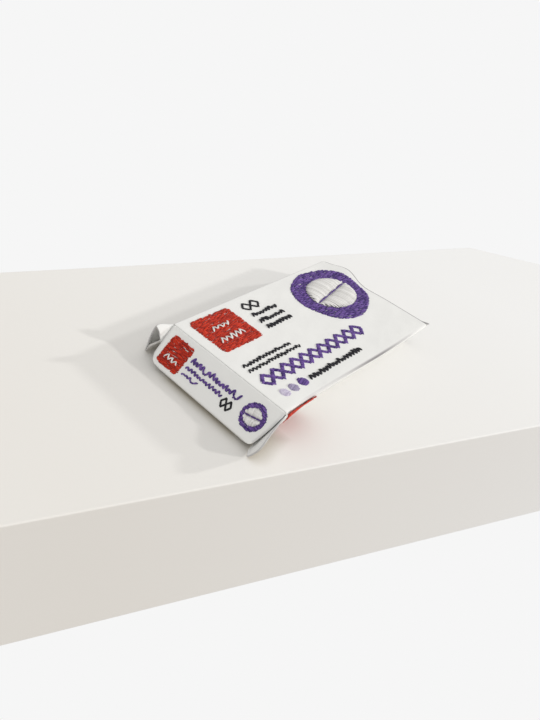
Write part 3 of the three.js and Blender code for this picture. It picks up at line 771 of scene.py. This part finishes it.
def row(threads, x0, x1, y0, y1, step, group, strand):
    """Up-and-down stitches with small rests between the groups."""
    count = round((x1 - x0) / step)
    last = None
    for i in range(count + 1):
        x = x0 + (x1 - x0) * i / count
        beat = i % group
        swell = rng.choice((1.0, 0.72, 0.86, 1.0))
        low = beat == 0 or i % 2 == 0
        y = y0 + strand / 2 if low else y0 + (y1 - y0 - strand / 2) * swell
        p = (x + rng.normal(0, 0.1) + (0 if low else rng.uniform(-0.1, 0.4) * step),
             y + rng.normal(0, 0.12))
        if last is not None:
            for _ in range(3):
                jit = rng.normal(0, 0.1, 4)
                threads.lay((last[0] + jit[0], last[1] + jit[1]), (p[0] + jit[2], p[1] + jit[3]),
                            strand * rng.uniform(0.85, 1.15), strand * 0.6, steps=4)
        last = p


def diamonds(threads, x0, x1, y0, y1, count, stroke, strand):
    """A chain of diamonds whose sides are covered with short slanting strands."""
    mid, half, step = (y0 + y1) / 2, (y1 - y0) / 2, (x1 - x0) / count
    for i in range(count):
        cx = x0 + step * (i + 0.5)
        tips = [(cx - step / 2, mid), (cx, mid - half), (cx + step / 2, mid), (cx, mid + half)]
        for k in range(4):
            a, b = np.array(tips[k]), np.array(tips[(k + 1) % 4])
            d = unit(b - a)
            n = np.array([-d[1], d[0]])
            total = np.linalg.norm(b - a)
            for s in np.arange(0.2, total, strand * 0.8):
                c = a + d * s
                lean = d * stroke * 0.55
                w = stroke * rng.uniform(0.85, 1.1) / 2
                threads.lay(c - n * w - lean / 2, c + n * w + lean / 2, strand * rng.uniform(0.9, 1.15),
                            strand * 0.7, steps=4)


def axes(x, y, angle):
    """A centre, the direction at an angle and the one square to it."""
    d = np.array([math.cos(angle), math.sin(angle)])
    return np.array([x, y]), d, np.array([-d[1], d[0]])


def disc_threads(threads, x, y, r, angle, pitch, width, height):
    """A small round of straight strands, each laid twice."""
    c, d, n = axes(x, y, angle)
    for s in np.arange(-r + pitch / 2, r, pitch):
        w = math.sqrt(max(r * r - s * s, 0))
        for _ in range(2):
            j = rng.normal(0, 0.08, 2)
            threads.lay(c + n * (s + j[0]) - d * (w + j[1]), c + n * (s + j[0]) + d * (w - j[1]),
                        width * rng.uniform(0.9, 1.15), height)


def half_round(threads, x, y, r, turn, part, side, pitch, width, height, dome):
    """Half of a padded round: strands from the parting out to the rim."""
    c, d, n = axes(x, y, turn)
    n = n * side

    def base(px, py):
        """The padding's height, over the half's width and its length."""
        k = ((np.array([px, py]) - c) @ n - part) / (r - part)
        m = ((np.array([px, py]) - c) @ d) / r
        return dome * max(0.0, 1 - (2 * k - 1) ** 2) ** 0.5 * max(0.0, 1 - m * m) ** 0.4
    for s in np.arange(-r + pitch / 2, r, pitch):
        w = math.sqrt(max(r * r - s * s, 0))
        if w < part + 0.8:
            continue
        j = rng.normal(0, 0.14, 3)
        inner, outer = n * (part + abs(j[1])), n * (w + j[2])
        threads.lay(c + d * (s + j[0]) + inner, c + d * (s + j[0] * 0.5) + outer,
                    width * rng.uniform(0.92, 1.12), height, base=base, steps=10, sides=8)
        # Painted shade: lower strands of the darkest tone between the others, standing for the shade in
        # the gaps.
        between = c + d * (s + pitch / 2)
        threads.lay(between + n * part, between + n * (w - 0.3), width * 0.8, height * 0.7,
                    base=lambda a, b: base(a, b) * 0.8, steps=8, tone=0.0)


def parting(threads, x, y, r, turn, part):
    """Straight strands along the groove of a padded round."""
    c, d, n = axes(x, y, turn)
    for k in (-0.5, 0.5):
        for a, b in ((-1.02, -0.2), (-0.3, 0.45), (0.35, 1.02)):
            start = c + n * part * k
            threads.lay(start + d * r * a, start + d * r * b, part * 1.3, 0.45, tone=0.45)


# Where the thread work lies, in mm: on the top x from the near edge and y from the front edge,
# on the near panel and the side as near_at and side_at say.
# A box is x0, x1, y0, y1. A row is a box, the step, the stitches of a group and the strand.
# A chain of diamonds is a box, their number, the stroke and the strand.
# A pad is its centre, its radius, its turn and half the width of its parting.
RED_BOX = (4.5, 26.5, 39, 62.5)
FLAP_RED_BOX = (4.4, 17.4, 1.9, 14.8)
SIDE_RED_BOX = (0.8, 17, 2, 17.2)
WHITE_ROWS = [(8, 21, 44, 47.8, 1.3, 6, 0.6), (10, 19.5, 52, 55, 1.3, 6, 0.6)]
FLAP_WHITE_ROW = (7, 14.8, 4.6, 7.4, 1.3, 6, 0.55)
BLACK_ROWS = {
    "black_row_top": (32, 46.5, 50, 53.8, 0.95, 8, 0.8),
    "black_row_middle": (31.5, 46.5, 45, 48.8, 0.95, 10, 0.8),
    "black_row_bottom": (31.5, 46.5, 40.2, 43.9, 0.95, 6, 0.8),
    "fine_row_upper": (4.5, 31.5, 27.4, 30.3, 0.9, 8, 0.62),
    "fine_row_lower": (4.5, 34, 24, 26.8, 0.9, 12, 0.58),
    "black_row_front": (22, 54.5, 6.6, 10.7, 0.95, 8, 0.82),
}
PURPLE_ROWS = {
    "flap_purple_row_top": (19, 46.8, 9.4, 13.1, 0.95, 9, 0.82),
    "flap_purple_row_middle": (19, 39.8, 6.2, 8.7, 0.9, 10, 0.66),
    "flap_purple_row_bottom": (19, 27.5, 3.6, 5.8, 0.9, 7, 0.64),
}
BLACK_CHAIN = (32, 41.5, 55.2, 60.8, 2, 1.25, 0.5)
FLAP_BLACK_CHAIN = (41, 46.4, 4, 8, 2, 1.0, 0.45)
PURPLE_CHAIN = (4.5, 66.5, 14.4, 21.1, 11, 2.0, 0.6)
OVAL = [(65, 59), (75, 63), (88, 60.5), (94, 55), (95.2, 50), (94.8, 42), (92, 33), (85, 27),
        (75, 23.7), (65, 27), (60, 35), (57.5, 45), (60, 54)]
OVAL_BOX = (57, 98, 23, 63)
PAD = (77, 43.8, 12.2, 0.2, 0.35)
FLAP_ROUND_R = 5.7
FLAP_ROUND_BOX = (50, 62, 3, 14.6)
FLAP_PAD = (56, 8.8, 3.7, 0.2, 0.25)
DOTS = (("lilac_dot", 7.5, 8.5, 2.3, LILAC, "pale_lilac_thread"),
        ("grey_dot", 12.4, 8.5, 2.3, GREY_LILAC, "grey_lilac_thread"),
        ("purple_dot", 18, 8.7, 2.5, PURPLE, "purple_thread"))


def top_work():
    """All the figures on the top."""
    red = Threads("red_field_stitches", stitched_at, RED, "red_thread")
    fill(red, inside_rect(*RED_BOX, 2), RED_BOX,
         slant=0.12, pitch=0.66, reach=5.0, width=0.62, height=0.42)
    red.build("carton", "red_field")
    for i, spec in enumerate(WHITE_ROWS):
        white = Threads(f"red_field_white_stitches_{i + 1}",
                        lambda x, y, h: stitched_at(x, y, h + 0.45), WHITE, "white_thread")
        row(white, *spec)
        white.build("carton", f"red_field_white_row_{i + 1}")
    outline = inside_loop(smooth_loop(OVAL))
    cx, cy, r, turn, part = PAD

    def oval(x, y):
        return outline(x, y) and math.hypot(x - cx, y - cy) > r - 0.2
    purple = Threads("purple_oval_stitches", stitched_at, PURPLE, "purple_thread")
    fill(purple, oval, OVAL_BOX, slant=-0.12, pitch=0.7, reach=4.4, width=0.66, height=0.44)
    parting(purple, cx, cy, r, turn, part)
    purple.build("carton", "purple_oval")
    for i, side in enumerate((1, -1)):
        pad = Threads(f"padded_half_stitches_{i + 1}", stitched_at, WHITE, "white_thread")
        half_round(pad, *PAD, side, pitch=0.95, width=1.2, height=0.5, dome=1.0)
        pad.build("carton", f"padded_half_{i + 1}")
    for name, spec in BLACK_ROWS.items():
        black = Threads(name + "_stitches", stitched_at, BLACK, "black_thread")
        row(black, *spec)
        black.build("carton", name)
    mark = Threads("black_diamond_stitches", stitched_at, BLACK, "black_thread")
    diamonds(mark, *BLACK_CHAIN)
    mark.build("carton", "black_diamonds")
    chain = Threads("purple_chain_stitches", stitched_at, PURPLE, "purple_thread")
    diamonds(chain, *PURPLE_CHAIN)
    chain.build("carton", "purple_chain")
    for name, x, y, r, mat, slot in DOTS:
        dot = Threads(name + "_stitches", stitched_at, mat, slot)
        disc_threads(dot, x, y, r, angle=0.3, pitch=0.5, width=0.6, height=0.4)
        dot.build("carton", name)


def flap_work():
    """All the figures on the near panel."""
    red = Threads("flap_red_stitches", near_at, RED, "red_thread")
    fill(red, inside_rect(*FLAP_RED_BOX, 1.6), FLAP_RED_BOX,
         slant=0.08, pitch=0.64, reach=4.4, width=0.6, height=0.4)
    red.build("near_flap", "flap_red_field")
    white = Threads("flap_white_stitches", lambda a, b, h: near_at(a, b, h + 0.42),
                    WHITE, "white_thread")
    row(white, *FLAP_WHITE_ROW)
    white.build("near_flap", "flap_white_row")
    for name, spec in PURPLE_ROWS.items():
        purple = Threads(name + "_stitches", near_at, PURPLE, "purple_thread")
        row(purple, *spec)
        purple.build("near_flap", name)
    mark = Threads("flap_black_stitches", near_at, BLACK, "black_thread")
    diamonds(mark, *FLAP_BLACK_CHAIN)
    mark.build("near_flap", "flap_black_diamonds")
    cx, cy, r, turn, part = FLAP_PAD

    def round_test(a, b):
        return r - 0.1 < math.hypot(a - cx, b - cy) < FLAP_ROUND_R
    purple = Threads("flap_round_stitches", near_at, PURPLE, "purple_thread")
    fill(purple, round_test, FLAP_ROUND_BOX, slant=-0.15, pitch=0.64, reach=3.2, width=0.6, height=0.4)
    parting(purple, cx, cy, r, turn, part)
    purple.build("near_flap", "flap_purple_round")
    for i, side in enumerate((1, -1)):
        pad = Threads(f"flap_half_stitches_{i + 1}", near_at, WHITE, "white_thread")
        half_round(pad, *FLAP_PAD, side, pitch=0.8, width=0.95, height=0.4, dome=0.5)
        pad.build("near_flap", f"flap_padded_half_{i + 1}")


def side_work():
    """The red field on the front side."""
    red = Threads("side_red_stitches", side_at, RED, "red_thread")
    fill(red, inside_rect(*SIDE_RED_BOX, 1.2), SIDE_RED_BOX,
         slant=0.08, pitch=0.66, reach=4.4, width=0.62, height=0.42)
    red.build("carton", "side_red_field")


def contents():
    """The strips, the caplets and the leaflet keep the source's solids, each with its own finish."""
    film = plain_material("blister_film", (0.86, 0.88, 0.89), 0.12, 0.03, through=0.85)
    foil = plain_material("blister_foil", (0.72, 0.73, 0.75), 0.32, 0.25, metal=1.0, scale=1400)
    tablet = plain_material("tablet", (0.86, 0.85, 0.81), 0.55, 0.08, scale=2600)
    paper = plain_material("paper", (0.84, 0.84, 0.82), 0.8, 0.15, scale=700)
    for name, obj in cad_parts.items():
        mat = (film if name.endswith("_film") else foil if name.endswith("_foil") else
               tablet if "caplet" in name else paper if name == "leaflet" else None)
        if mat:
            obj.data.materials.clear()
            obj.data.materials.append(mat)


# Stage, camera and light


def plinth_material():
    """Pale paint, with painted light lighter to the right where the lamps fall and darker and warmer to
    the left, and painted shade deeper in tone close under the open end.
    """
    shaded_left, lit_right, painted_shade = (0.80, 0.78, 0.745, 1), (0.87, 0.87, 0.865, 1), (0.36, 0.32, 0.25, 1)
    mat, tree, bsdf = nodes_of("plinth")
    place = node(tree, "ShaderNodeTexCoord")
    split = node(tree, "ShaderNodeSeparateXYZ")
    link(tree, place, "Object", split, "Vector")
    # Painted light: the plinth grows lighter and cooler toward the right, where the lamps fall.
    across = node(tree, "ShaderNodeMapRange", {"From Min": -0.12, "From Max": 0.12})
    link(tree, split, "X", across, "Value")
    pale = mix_colours(tree, (across, "Result"), shaded_left, lit_right)
    # Painted shade: ambient occlusion darkens the plinth toward a dark warm tone close under the near
    # end, and only beside it.
    close = node(tree, "ShaderNodeAmbientOcclusion", {"Distance": 10 * MM}, samples=12)
    deepen = node(tree, "ShaderNodeMapRange", {"From Min": 0.2, "From Max": 0.85})
    link(tree, close, "AO", deepen, "Value")
    beside = node(tree, "ShaderNodeMapRange", {"From Min": -52 * MM, "From Max": -44 * MM})
    link(tree, split, "X", beside, "Value")
    open_air = node(tree, "ShaderNodeMath", operation="MAXIMUM")
    link(tree, deepen, "Result", open_air, 0)
    link(tree, beside, "Result", open_air, 1)
    both = mix_colours(tree, (open_air, "Value"), painted_shade, (pale, 2))
    link(tree, both, 2, bsdf, "Base Color")
    set_shader(bsdf, {"Roughness": 0.75})
    return mat


def plinth():
    """The pale plinth that the object lies on, with its front edge across the view."""
    along = unit(np.array([193.8, -91.7]))
    back = np.array([-along[1], along[0]])
    far_left = np.array([-144.4, -13.1]) - along * 900
    corners = [far_left, np.array([310.7, -229.0]), np.array([169.0, -1.0]), far_left + back * 145]
    verts = [np.array([*c, z]) for z in (0.0, -72.0) for c in corners]
    faces = [(0, 1, 2, 3), (7, 6, 5, 4), (0, 4, 5, 1), (1, 5, 6, 2), (2, 6, 7, 3), (3, 7, 4, 0)]
    obj = mesh_object("plinth", verts, faces, plinth_material())
    for p in obj.data.polygons:
        p.use_smooth = False
    bevel = obj.modifiers.new("edge", "BEVEL")
    bevel.width = 0.6 * MM
    bevel.segments = 3


def placed(right, up, out, place):
    """The matrix of an object whose own axes run right, up and out."""
    return Matrix([[right[k], up[k], out[k], place[k]] for k in range(3)] + [[0, 0, 0, 1]])


def camera():
    """The photo's camera: its focal length in pixels of a 720-pixel frame, its turn and its place."""
    focal, frame_height, sensor = 623.6, 720, 36
    data = bpy.data.cameras.new("camera")
    data.sensor_width = sensor
    data.lens = focal / frame_height * sensor
    data.clip_start = 0.01
    obj = bpy.data.objects.new("camera", data)
    bpy.context.collection.objects.link(obj)
    right = unit(np.array([0.6929, -0.7050, 0.1516]))
    up = np.array([0.3681, 0.5266, 0.7663])
    up = unit(up - right * (up @ right))
    place = np.array([-138.8 - HALF_L, -93.4 - HALF_W + TOP_SHIFT, 156.4 + HEIGHT]) * MM
    obj.matrix_world = placed(right, up, np.cross(right, up), place)
    bpy.context.scene.camera = obj


def lamp(name, direction, strength, angle, colour):
    """A sun that shines from a direction; its angle in degrees says how soft it is."""
    data = bpy.data.lights.new(name, "SUN")
    data.energy = strength
    data.angle = math.radians(angle)
    data.color = colour
    obj = bpy.data.objects.new(name, data)
    bpy.context.collection.objects.link(obj)
    d = unit(np.array(direction, float))
    side = unit(np.cross([0, 0, 1], d))
    obj.matrix_world = placed(side, np.cross(d, side), d, (0, 0, 0))


def surroundings():
    """Soft room light, darker from below; the camera sees plain near-white behind the plinth."""
    world = bpy.data.worlds.new("room")
    bpy.context.scene.world = world
    bpy.context.scene.view_settings.view_transform = "Standard"
    world.use_nodes = True
    tree = world.node_tree
    tree.nodes.clear()
    around = node(tree, "ShaderNodeTexCoord")
    split = node(tree, "ShaderNodeSeparateXYZ")
    link(tree, around, "Generated", split, "Vector")
    spread = node(tree, "ShaderNodeMapRange", {"From Min": -0.6, "From Max": 0.7})
    link(tree, split, "Z", spread, "Value")
    below, above, behind = (0.50, 0.47, 0.44, 1), (0.75, 0.745, 0.735, 1), (0.922, 0.922, 0.922, 1)
    room = mix_colours(tree, (spread, "Result"), below, above)
    seen = node(tree, "ShaderNodeLightPath")
    both = mix_colours(tree, (seen, "Is Camera Ray"), (room, 2), behind)
    back = node(tree, "ShaderNodeBackground")
    link(tree, both, 2, back, "Color")
    out = node(tree, "ShaderNodeOutputWorld")
    link(tree, back, "Background", out, "Surface")
    lamp("wide_light_left", (-26, -12, 18), 0.34, 100, (1.0, 0.985, 0.96))
    lamp("low_light_front", (18.4, -32.7, 16), 0.98, 3, (1.0, 0.985, 0.96))
    lamp("low_light_side", (40.3, -22.5, 16), 0.98, 3, (1.0, 0.99, 0.97))


sleeve()
near_flap()
far_flap()
top_work()
flap_work()
side_work()
contents()
plinth()
camera()
surroundings()

bpy.context.view_layer.update()
